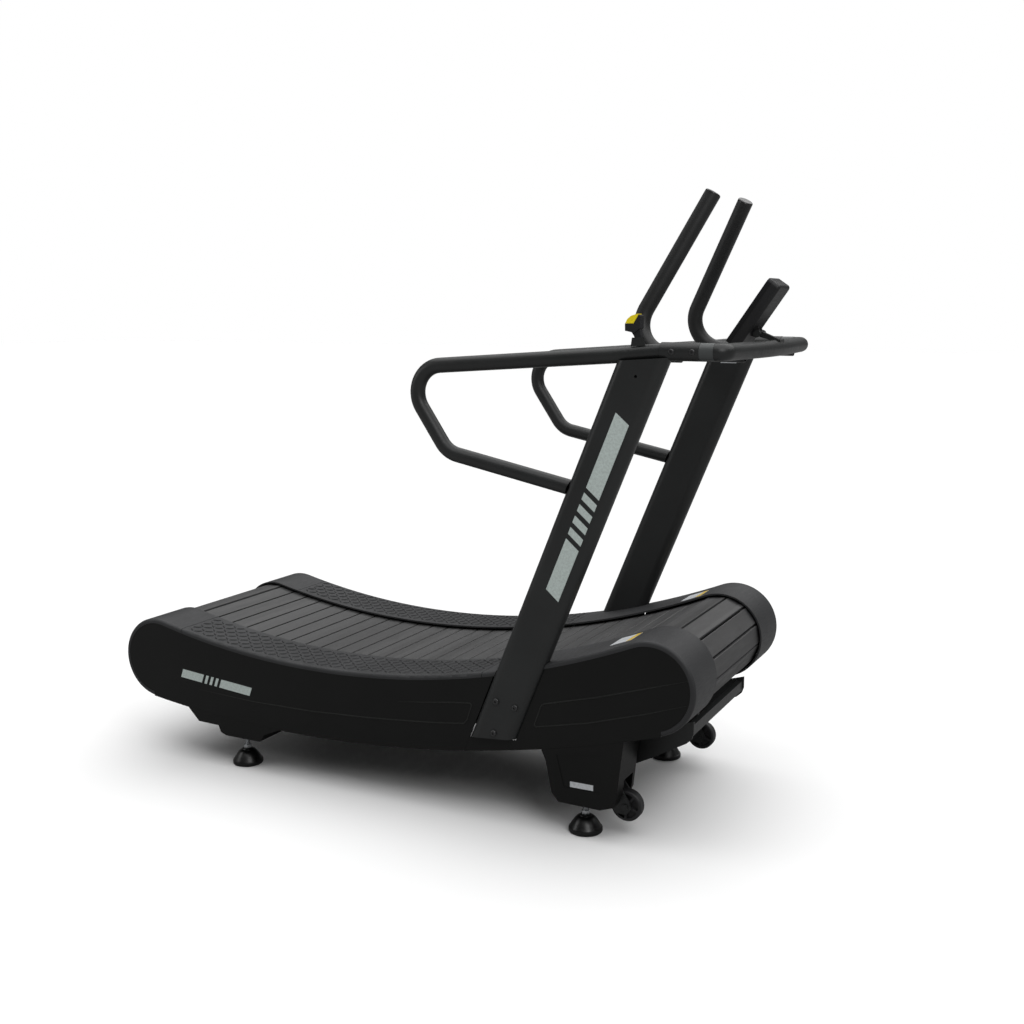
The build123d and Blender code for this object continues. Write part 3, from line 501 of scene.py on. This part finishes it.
def lozenge_tree(material):
    """Raised lozenges in rows, turned one way and the other, wrapped on the concave rail."""
    tree = Tree("Tread lozenges", {"Rows": 40, "Columns": 6, "Pitch": 0.025, "Side": 0.0,
                                   "Start": 0.0, "Length": 0.02, "Width": 0.006,
                                   "Height": 0.0012, "Radius": 2.6, "Centre X": 0.0,
                                   "Centre Z": 3.0})
    rows, columns, pitch = tree.given("Rows"), tree.given("Columns"), tree.given("Pitch")
    total = tree.maths("MULTIPLY", rows, columns)
    points = tree.node("GeometryNodePoints", {"Count": total})
    index = tree.node("GeometryNodeInputIndex").outputs[0]
    row = tree.maths("FLOOR", tree.maths("DIVIDE", tree.maths("ADD", index, 0.5), columns))
    column = tree.maths("SUBTRACT", index, tree.maths("MULTIPLY", row, columns))
    parity = tree.maths("MODULO", tree.maths("ADD", row, column), 2.0)
    along = tree.maths("ADD", tree.given("Start"), tree.maths("MULTIPLY", row, pitch))
    middle = tree.maths("MULTIPLY", tree.maths("SUBTRACT", columns, 1.0), 0.5)
    across = tree.maths("ADD", tree.given("Side"),
                        tree.maths("MULTIPLY", tree.maths("SUBTRACT", column, middle), pitch))
    placed = tree.node("GeometryNodeSetPosition", {"Geometry": points.outputs[0],
                                                   "Position": tree.vector(along, across, 0.0)})
    blank = tree.node("GeometryNodeMeshCone", {"Vertices": 8, "Radius Top": 0.3,
                                               "Radius Bottom": 0.5, "Depth": 1.0})
    size = tree.vector(tree.given("Length"), tree.given("Width"), tree.given("Height"))
    lozenge = tree.node("GeometryNodeTransform", {"Geometry": blank.outputs["Mesh"],
                                                  "Scale": size})
    turn = tree.maths("MULTIPLY", tree.maths("SUBTRACT", parity, 0.5), pi / 2)
    spot = tree.node("GeometryNodeInstanceOnPoints", {
        "Points": placed.outputs[0], "Instance": lozenge.outputs[0],
        "Rotation": tree.vector(0.0, 0.0, turn)})
    loose = tree.node("GeometryNodeRealizeInstances", {"Geometry": spot.outputs[0]})
    place = tree.node("ShaderNodeSeparateXYZ",
                      {"Vector": tree.node("GeometryNodeInputPosition").outputs[0]})
    radius = tree.maths("SUBTRACT", tree.given("Radius"), place.outputs[2])
    angle = tree.maths("DIVIDE", place.outputs[0], tree.given("Radius"))
    x = tree.maths("ADD", tree.given("Centre X"),
                   tree.maths("MULTIPLY", radius, tree.maths("SINE", angle)))
    z = tree.maths("SUBTRACT", tree.given("Centre Z"),
                   tree.maths("MULTIPLY", radius, tree.maths("COSINE", angle)))
    bent = tree.node("GeometryNodeSetPosition", {"Geometry": loose.outputs[0],
                                                 "Position": tree.vector(x, place.outputs[1], z)})
    tree.finish(bent.outputs[0], material)
    return tree


def thread_tree(material):
    """Screw thread: rings of a small ridge stacked up a stud."""
    tree = Tree("Stud thread", {"Turns": 30, "Pitch": 0.0018, "Radius": 0.006, "Depth": 0.0006,
                                "X": 0.0, "Y": 0.0, "Bottom": 0.06})
    line = tree.node("GeometryNodeMeshLine", {
        "Count": tree.given("Turns"),
        "Start Location": tree.vector(tree.given("X"), tree.given("Y"), tree.given("Bottom")),
        "Offset": tree.vector(0.0, 0.0, tree.given("Pitch"))})
    ring = tree.node("GeometryNodeCurvePrimitiveCircle", {"Resolution": 24,
                                                          "Radius": tree.given("Radius")})
    ridge = tree.node("GeometryNodeCurvePrimitiveCircle", {"Resolution": 4,
                                                           "Radius": tree.given("Depth")})
    bead = tree.node("GeometryNodeCurveToMesh", {"Curve": ring.outputs[0],
                                                 "Profile Curve": ridge.outputs[0]})
    spot = tree.node("GeometryNodeInstanceOnPoints", {"Points": line.outputs[0],
                                                      "Instance": bead.outputs[0]})
    tree.finish(spot.outputs[0], material)
    return tree


# ---- pieces --------------------------------------------------------------------------
def build_finishes(settings):
    make_finishes(settings)
    for part in frame["record"]["subparts"]:
        paint(part["node"], MATERIALS[part["material_slot"]])
    for node in ("slats_upper", "slats_lower"):
        paint(node, MATERIALS["slat_rubber_run"])


def build_treads(settings):
    """Lozenge plates of both foot pads, inside a smooth border."""
    tree = lozenge_tree(MATERIALS["rail_plastic"])
    margin = settings.margin
    start, end = along_rail(PAD_LOW.x) + margin, along_rail(PAD_HIGH.x) - margin
    rows = int((end - start) / settings.pitch) + 1
    start += ((end - start) - (rows - 1) * settings.pitch) / 2
    width = PAD_HIGH.y - PAD_LOW.y - 2 * margin
    columns = int(width / settings.pitch) + 1
    for side, sign in SIDES.items():
        middle = -sign * (PAD_LOW.y + PAD_HIGH.y) / 2
        piece = grown(tree, "tread_" + side, {
            "Rows": rows, "Columns": columns, "Pitch": settings.pitch, "Side": middle,
            "Start": start, "Length": settings.length, "Width": settings.width,
            "Height": settings.height * 2, "Radius": RAIL_R, "Centre X": CURVE.x,
            "Centre Z": CURVE.z}, MATERIALS["rail_plastic"])
        attach(piece, "root")


def bead(name, routes, radius, material):
    """Raised bead along routes; each is a list of (point, share of the radius)."""
    curve = bpy.data.curves.new(name, "CURVE")
    curve.dimensions = "3D"
    curve.bevel_depth = radius
    curve.bevel_resolution = 2
    curve.use_fill_caps = True
    for route in routes:
        spline = curve.splines.new("POLY")
        spline.points.add(len(route) - 1)
        for point, (place, share) in zip(spline.points, route):
            point.co = (*place, 1)
            point.radius = share
    holder = bpy.data.objects.new(name + "_line", curve)
    bpy.context.scene.collection.objects.link(holder)
    bpy.context.view_layer.update()
    mesh = bpy.data.meshes.new_from_object(
        holder.evaluated_get(bpy.context.evaluated_depsgraph_get()))
    mesh.name = name
    bpy.data.objects.remove(holder)
    return link(mesh, name, material)


# Corners of the side panels' raised outlines, in the XZ plane, with how proud each is.
FRONT_PANEL = [((0.909, 0.497), 0.1), ((0.80, 0.463), 0.8), ((0.65, 0.416), 1), ((0.497, 0.376), 1),
               ((0.487, 0.370), 1), ((0.466, 0.312), 1), ((0.470, 0.306), 1), ((0.62, 0.339), 1),
               ((0.79, 0.390), 0.8), ((0.913, 0.433), 0.1)]
REAR_PANEL = [((0.02, 0.313), 0.1), ((0.10, 0.323), 0.7), ((0.20, 0.337), 1), ((0.264, 0.344), 1),
              ((0.269, 0.339), 1), ((0.254, 0.293), 1), ((0.244, 0.281), 1), ((0.15, 0.269), 1),
              ((0.054, 0.260), 1), ((-0.079, 0.249), 1), ((-0.288, 0.238), 1),
              ((-0.505, 0.236), 0.7), ((-0.72, 0.245), 0.1)]


def build_cover_lines(settings):
    """Raised outlines moulded into the four side panels."""
    for side, sign in SIDES.items():
        routes = [[(Vector((x, sign * COVER_Y, z)), share) for (x, z), share in panel]
                  for panel in (FRONT_PANEL, REAR_PANEL)]
        piece = bead("cover_lines_" + side, routes, settings.line_radius,
                     MATERIALS["moulding_line"])
        attach(piece, "root")


def dome_profile(wide):
    """Outline of a rubber foot: a chamfered pad under a bell-shaped dome."""
    pad_top, neck, steps = 15 * MM, 18 * MM, 8
    profile = [(0, 0), (wide - 6 * MM, 0), (wide - 2 * MM, 1.2 * MM), (wide, 4 * MM),
               (wide, 12 * MM), (wide - 1.2 * MM, 14.5 * MM), (wide - 2.6 * MM, pad_top)]
    for k in range(1, steps + 1):
        share = k / steps
        profile.append((neck + (wide - 21 * MM) * (1 - share) ** 1.15,
                        pad_top + (DOME_TOP - 18 * MM) * sin(share * pi / 2) ** 0.9))
    return profile + [(17 * MM, DOME_TOP - 1 * MM), (15 * MM, DOME_TOP), (0, DOME_TOP)]


def stud_profile(top):
    """Outline of a round stud that stands in the dome and ends in a chamfer."""
    return [(0, DOME_TOP - 2 * MM), (STUD_R, DOME_TOP - 2 * MM), (STUD_R, top - 1 * MM),
            (STUD_R - 1 * MM, top), (0, top)]


def nut_profile():
    """Outline of the chamfered nut that sits on the dome."""
    return [(0, DOME_TOP), (11.6 * MM, DOME_TOP), (NUT_R, DOME_TOP + 1 * MM),
            (NUT_R, NUT_TOP - 1 * MM), (10.8 * MM, NUT_TOP), (0, NUT_TOP)]


def build_feet(settings):
    """Domed rubber feet on zinc studs, each in place of its plain CAD solid."""
    threads = thread_tree(MATERIALS["zinc_plate"])
    for end in ("front", "rear"):
        for side in SIDES:
            node = f"foot_{end}_{side}"
            low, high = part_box(node)
            centre = (low + high) / 2
            wide, top = (high.x - low.x) / 2, high.z
            dome = solid("dome_" + node, MATERIALS["foot_rubber"],
                         lambda bm: lathe(bm, dome_profile(wide), centre, settings.steps),
                         radians(40))
            attach(dome, node + "_body")
            stud = solid("stud_" + node, MATERIALS["zinc_plate"],
                         lambda bm: (lathe(bm, stud_profile(top), centre, 24),
                                     lathe(bm, nut_profile(), centre, 6)),
                         radians(25))
            attach(stud, node + "_body")
            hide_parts(node)
            turns = int((top - NUT_TOP - 3 * MM) / settings.thread_pitch)
            screw = grown(threads, "thread_" + node, {
                "Turns": turns, "Pitch": settings.thread_pitch, "Radius": STUD_R,
                "Depth": THREAD_DEPTH, "X": centre.x, "Y": centre.y,
                "Bottom": NUT_TOP + 1.5 * MM}, MATERIALS["zinc_plate"])
            attach(screw, node + "_body")


def rail_patch(bm, x0, x1, y0, y1, height, steps=8):
    """Sticker that follows the rail's concave top."""
    start, end = along_rail(x0), along_rail(x1)
    ring = []
    for k in range(steps + 1):
        distance = start + (end - start) * k / steps
        ring.append([bm.verts.new(on_rail(distance, y, h))
                     for y, h in ((y0, -0.2 * MM), (y1, -0.2 * MM), (y1, height), (y0, height))])
    for first, second in zip(ring, ring[1:]):
        for k in range(4):
            following = (k + 1) % 4
            bm.faces.new((first[k], first[following], second[following], second[k]))
    bm.faces.new(ring[0])
    bm.faces.new(ring[-1])


def build_labels(settings):
    """Blank stickers: on the rails' front ends, the front housings and one upright."""
    film = settings.film
    for side, sign in SIDES.items():
        y0, y1 = (sign * y for y in RAIL_LABEL_Y)
        inset = sign * RAIL_HEAD_INSET
        white = solid("rail_label_" + side, MATERIALS["white_film"],
                      lambda bm: rail_patch(bm, *RAIL_LABEL_X, y0, y1, film))
        attach(white, "root")
        header = solid("rail_label_head_" + side, MATERIALS["yellow_film"],
                       lambda bm: rail_patch(bm, *RAIL_HEAD_X, y0 + inset, y1 - inset, film * 2))
        attach(header, "root")
        face = sign * (-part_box("foot_housing_front_right")[0].y - RECESS)
        (x0, x1), (z0, z1) = HOUSING_LABEL_X, HOUSING_LABEL_Z
        corners = [(x0, face, z0), (x1, face, z0), (x1, face, z1), (x0, face, z1)]
        tag = solid("housing_label_" + side, MATERIALS["white_film"],
                    lambda bm: plate(bm, corners, (0, sign, 0), film))
        attach(tag, "root")
    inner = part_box("upright_left")[0].y
    corners = [(x, inner, z) for x, z in UPRIGHT_LABEL]
    tag = solid("upright_label", MATERIALS["white_film"],
                lambda bm: plate(bm, corners, (0, -1, 0), film))
    attach(tag, "root")


def slanted_bars(bm, bars, y, run, rise, normal, thickness):
    """Row of slanted bars along run, as one of the tables of bars says, at depth y."""
    (x, z), lengths, height, gap = bars
    origin = Vector((x, y, z))
    place = 0.0
    slant = rise.normalized() * height + run.normalized() * height * BAR_SLANT
    for length in lengths:
        low = origin + run.normalized() * place
        high = low + run.normalized() * length
        plate(bm, [low, high, high + slant, low + slant], normal, thickness)
        place += length + gap


def build_marks(settings):
    """Plain pale bars along the uprights and on the rear covers."""
    lean, cross = Vector((sin(LEAN), 0, cos(LEAN))), Vector((-cos(LEAN), 0, sin(LEAN)))
    tail_run, up = Vector((1, 0, -0.09)), Vector((0, 0, 1))
    for side, sign in SIDES.items():
        normal = (0, sign, 0)
        piece = solid("upright_bars_" + side, MATERIALS["pale_print"],
                      lambda bm: slanted_bars(bm, UPRIGHT_BARS, sign * UPRIGHT_Y, lean, cross,
                                              normal, settings.film))
        attach(piece, "root")
        piece = solid("cover_bars_" + side, MATERIALS["pale_print"],
                      lambda bm: slanted_bars(bm, COVER_BARS, sign * COVER_Y, tail_run, up,
                                              normal, settings.film))
        attach(piece, "root")


# ---- stage ---------------------------------------------------------------------------
def area_light(name, place, target, size, power):
    """Rectangular softbox that faces its target."""
    data = bpy.data.lights.new(name, "AREA")
    data.shape = "RECTANGLE"
    data.size, data.size_y = size
    data.energy = power
    light = bpy.data.objects.new(name, data)
    bpy.context.scene.collection.objects.link(light)
    light.location = place
    light.rotation_euler = (Vector(target) - Vector(place)).to_track_quat("-Z", "Y").to_euler()


def build_stage(settings):
    """Pale floor, soft lights and the camera.

    The backdrop and the floor look bright, but throw little light back on the object.
    """
    scene = bpy.context.scene
    world = bpy.data.worlds.new("Studio")
    scene.world = world
    world.use_nodes = True
    tree = world.node_tree
    tree.nodes["Background"].inputs["Color"].default_value = (1, 1, 1, 1)
    strength = tree.nodes.new("ShaderNodeMapRange")
    strength.inputs["To Min"].default_value = settings.surround
    strength.inputs["To Max"].default_value = settings.backdrop
    rays = tree.nodes.new("ShaderNodeLightPath")
    tree.links.new(rays.outputs["Is Camera Ray"], strength.inputs["Value"])
    tree.links.new(strength.outputs["Result"], tree.nodes["Background"].inputs["Strength"])
    scene.view_settings.view_transform = "Standard"
    pale = (0.88,) * 3
    floor_material, tree, shader = new_finish("Pale floor", pale, 0.9, specular=0.0)
    rays = tree.nodes.new("ShaderNodeLightPath")
    two_tone(tree, shader, rays.outputs["Is Camera Ray"], (settings.bounce,) * 3, pale)
    mesh = bpy.data.meshes.new("floor")
    mesh.from_pydata([(x * FLOOR_REACH, y * FLOOR_REACH, 0)
                      for x, y in ((-1, -1), (1, -1), (1, 1), (-1, 1))], [], [(0, 1, 2, 3)])
    floor = link(mesh, "floor", floor_material)
    sky = bpy.data.lights.new("Ceiling", "SUN")
    sky.energy, sky.angle = settings.ceiling, radians(100)
    ceiling = bpy.data.objects.new("Ceiling", sky)
    scene.collection.objects.link(ceiling)
    ceiling.rotation_euler = (radians(-12), radians(6), 0)
    area_light("Key softbox", (3.4, -3.2, 3.6), (0.2, 0, 0.8), (2.0, 2.0), settings.key_power)
    area_light("Fill softbox", (-4.0, -2.4, 2.6), (-0.2, 0, 0.6), (2.0, 2.0), settings.fill_power)
    camera = bpy.data.objects.new("Camera", bpy.data.cameras.new("Camera"))
    scene.collection.objects.link(camera)
    camera.data.lens = CAMERA_LENS
    camera.data.sensor_width = CAMERA_SENSOR
    camera.location = CAMERA_PLACE
    camera.rotation_euler = Euler([radians(angle) for angle in CAMERA_TURN])
    scene.camera = camera


# ---- settings ------------------------------------------------------------------------
def colour_property(name, text, value):
    """Colour shown in the panel."""
    return FloatVectorProperty(name=name, description=text, default=value, subtype="COLOR",
                               size=3, min=0, max=1)


def length_property(name, text, value):
    """Length in metres shown in the panel."""
    return FloatProperty(name=name, description=text, default=value, unit="LENGTH",
                         subtype="DISTANCE", min=0)


class TreadmillFinishSettings(bpy.types.PropertyGroup):
    """Colours of the finishes"""
    powder_coat: colour_property("Powder coat", "Colour of the steel tubes",
                                 (0.0172, 0.0182, 0.0182))
    covers: colour_property("Covers", "Colour of the side covers", (0.0048, 0.005, 0.0047))
    rails: colour_property("Rails", "Colour of the foot rails", (0.036, 0.0365, 0.038))
    slats: colour_property("Slats", "Colour of the belt's slats", (0.042, 0.042, 0.0425))
    marks: colour_property("Marks", "Colour of the plain bars", (0.60, 0.68, 0.65))


class TreadmillTreadSettings(bpy.types.PropertyGroup):
    """Sizes of the tread on the foot rails"""
    pitch: length_property("Pitch", "Distance between lozenges", 0.0245)
    length: length_property("Length", "Length of a lozenge", 0.030)
    width: length_property("Width", "Width of a lozenge", 0.0066)
    height: length_property("Height", "How proud a lozenge stands", 0.0016)
    margin: length_property("Margin", "Smooth border of the pad", 0.02)


class TreadmillCoverSettings(bpy.types.PropertyGroup):
    """Sizes of the side panels' outlines"""
    line_radius: length_property("Line radius", "Radius of the moulded outlines", 0.002)


class TreadmillFeetSettings(bpy.types.PropertyGroup):
    """Sizes of the levelling feet"""
    steps: IntProperty(name="Segments", description="Segments round a foot", default=64, min=12)
    thread_pitch: length_property("Thread pitch", "Distance between thread turns", 0.0018)


class TreadmillLabelSettings(bpy.types.PropertyGroup):
    """Sizes of stickers and prints"""
    film: length_property("Film", "Thickness of stickers and prints", 0.0003)


class TreadmillStageSettings(bpy.types.PropertyGroup):
    """Light and backdrop"""
    surround: FloatProperty(name="Surround", description="How strongly the surround lights",
                            default=0.12, min=0)
    bounce: FloatProperty(name="Bounce", description="How much light the floor throws back",
                          default=0.3, min=0, max=1)
    backdrop: FloatProperty(name="Backdrop", description="How bright the backdrop is seen",
                            default=1.0, min=0)
    ceiling: FloatProperty(name="Ceiling", description="Strength of the even light from above",
                           default=3.3, min=0)
    key_power: FloatProperty(name="Key light", description="Power of the key light",
                             default=60, min=0, unit="POWER")
    fill_power: FloatProperty(name="Fill light", description="Power of the fill light",
                              default=25, min=0, unit="POWER")


SETTINGS = {
    "treadmill_finish": TreadmillFinishSettings,
    "treadmill_tread": TreadmillTreadSettings,
    "treadmill_cover": TreadmillCoverSettings,
    "treadmill_feet": TreadmillFeetSettings,
    "treadmill_label": TreadmillLabelSettings,
    "treadmill_stage": TreadmillStageSettings,
}


# ---- operators -----------------------------------------------------------------------
class TreadmillFinishes(bpy.types.Operator):
    """Paint every CAD piece with its procedural finish"""
    bl_idname = "treadmill.finishes"
    bl_label = "Finishes"

    def execute(self, context):
        build_finishes(context.scene.treadmill_finish)
        return {"FINISHED"}


class TreadmillTreads(bpy.types.Operator):
    """Add the lozenge tread to both foot rails"""
    bl_idname = "treadmill.treads"
    bl_label = "Tread plates"

    def execute(self, context):
        build_treads(context.scene.treadmill_tread)
        return {"FINISHED"}


class TreadmillCoverLines(bpy.types.Operator):
    """Add the moulded outlines of the side panels"""
    bl_idname = "treadmill.cover_lines"
    bl_label = "Cover lines"

    def execute(self, context):
        build_cover_lines(context.scene.treadmill_cover)
        return {"FINISHED"}


class TreadmillFeet(bpy.types.Operator):
    """Build the four domed feet with their threaded studs"""
    bl_idname = "treadmill.feet"
    bl_label = "Levelling feet"

    def execute(self, context):
        build_feet(context.scene.treadmill_feet)
        return {"FINISHED"}


class TreadmillLabels(bpy.types.Operator):
    """Stick the blank labels on"""
    bl_idname = "treadmill.labels"
    bl_label = "Labels"

    def execute(self, context):
        build_labels(context.scene.treadmill_label)
        return {"FINISHED"}


class TreadmillMarks(bpy.types.Operator):
    """Print the plain pale bars on uprights and covers"""
    bl_idname = "treadmill.marks"
    bl_label = "Pale bars"

    def execute(self, context):
        build_marks(context.scene.treadmill_label)
        return {"FINISHED"}


class TreadmillStage(bpy.types.Operator):
    """Set up the floor, the lights and the camera"""
    bl_idname = "treadmill.stage"
    bl_label = "Stage"

    def execute(self, context):
        build_stage(context.scene.treadmill_stage)
        return {"FINISHED"}


OPERATORS = (TreadmillFinishes, TreadmillTreads, TreadmillCoverLines, TreadmillFeet,
             TreadmillLabels, TreadmillMarks, TreadmillStage)


class TreadmillPanel(bpy.types.Panel):
    """Buttons and sizes of the treadmill"""
    bl_idname = "VIEW3D_PT_treadmill"
    bl_label = "Treadmill"
    bl_space_type = "VIEW_3D"
    bl_region_type = "UI"
    bl_category = "Treadmill"

    def draw(self, context):
        for operator in OPERATORS:
            self.layout.operator(operator.bl_idname)
        for name, settings in SETTINGS.items():
            box = self.layout.box()
            for field in settings.__annotations__:
                box.prop(getattr(context.scene, name), field)


def register():
    for settings in SETTINGS.values():
        bpy.utils.register_class(settings)
    for name, settings in SETTINGS.items():
        setattr(bpy.types.Scene, name, PointerProperty(type=settings))
    for cls in (*OPERATORS, TreadmillPanel):
        bpy.utils.register_class(cls)


def unregister():
    for cls in (TreadmillPanel, *reversed(OPERATORS)):
        bpy.utils.unregister_class(cls)
    for name in SETTINGS:
        delattr(bpy.types.Scene, name)
    for settings in reversed(SETTINGS.values()):
        bpy.utils.unregister_class(settings)


def main():
    register()
    bpy.ops.treadmill.finishes()
    bpy.ops.treadmill.treads()
    bpy.ops.treadmill.cover_lines()
    bpy.ops.treadmill.feet()
    bpy.ops.treadmill.labels()
    bpy.ops.treadmill.marks()
    bpy.ops.treadmill.stage()


if __name__ == "__main__":
    main()
